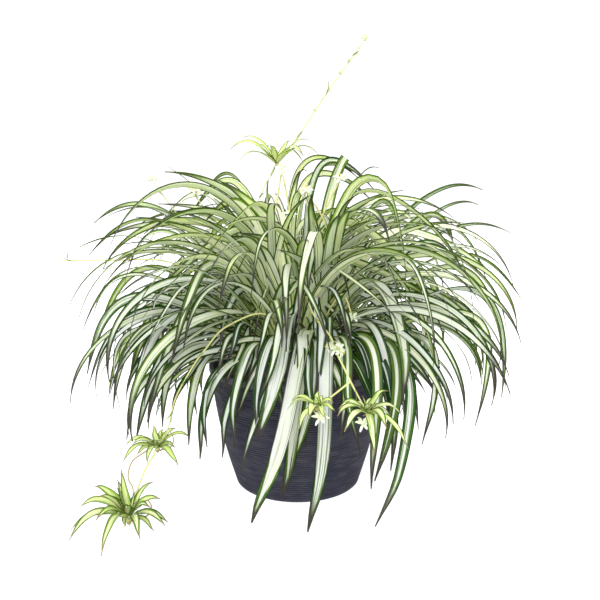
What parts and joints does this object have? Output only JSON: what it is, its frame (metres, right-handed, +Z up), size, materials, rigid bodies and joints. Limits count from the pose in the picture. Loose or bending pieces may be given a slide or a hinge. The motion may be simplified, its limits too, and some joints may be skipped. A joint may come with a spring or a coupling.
{
  "type": "potted spider plant",
  "caption": "Fountain of arching variegated strap leaves with runners, plantlets and small white flowers, in a round tapered plastic pot.",
  "frame": {"origin": "centre of the pot's flat base, on the surface that it stands on", "axes": "+Z up along the pot's axis; -Y is the front, the side with the long hanging leaves and the plantlets; +X is to the right seen from the front"},
  "size_m": [0.696, 0.5266, 0.6448],
  "materials": {
    "pot_plastic": "satin",
    "potting_soil": "matte",
    "rhizome": "matte",
    "leaf": "satin",
    "plantlet": "satin",
    "runner": "satin",
    "petal": "matte"
  },
  "bodies": {
    "root": {"bare_runner": "runner", "crown": "rhizome", "flower_stalk_lower": "runner", "flower_stalk_upper": "runner", "front_flower": "petal", "front_runner": "runner", "front_runner_end": "runner", "front_runner_fork": "runner", "hanging_runner": "runner", "hanging_runner_end": "runner", "leaf_back_01": "leaf", "leaf_back_02": "leaf", "leaf_back_03": "leaf", "leaf_back_04": "leaf", "leaf_back_05": "leaf", "leaf_front_01": "leaf", "leaf_front_02": "leaf", "leaf_front_03": "leaf", "leaf_front_04": "leaf", "leaf_front_05": "leaf", "leaf_front_06": "leaf", "leaf_front_07": "leaf", "leaf_front_08": "leaf", "leaf_left_01": "leaf", "leaf_left_02": "leaf", "leaf_left_03": "leaf", "leaf_left_04": "leaf", "leaf_left_05": "leaf", "leaf_left_06": "leaf", "leaf_left_07": "leaf", "leaf_left_08": "leaf", "leaf_right_01": "leaf", "leaf_right_02": "leaf", "leaf_right_03": "leaf", "leaf_right_04": "leaf", "leaf_right_05": "leaf", "leaf_right_06": "leaf", "leaf_right_07": "leaf", "leaf_right_08": "leaf", "leaf_right_09": "leaf", "leaf_top_01": "leaf", "leaf_top_02": "leaf", "leaf_top_03": "leaf", "leaf_top_04": "leaf", "leaf_top_05": "leaf", "leaf_top_06": "leaf", "leaf_top_07": "leaf", "left_flower_a": "petal", "left_flower_b": "petal", "left_flower_stalk_a": "runner", "left_flower_stalk_b": "runner", "plantlet_left": "plantlet", "plantlet_lower": "plantlet", "plantlet_right": "plantlet", "plantlet_upper": "plantlet", "pot": "pot_plastic", "soil": "potting_soil", "stalk_tuft": "plantlet", "top_flower": "petal"}
  },
  "joints": []
}
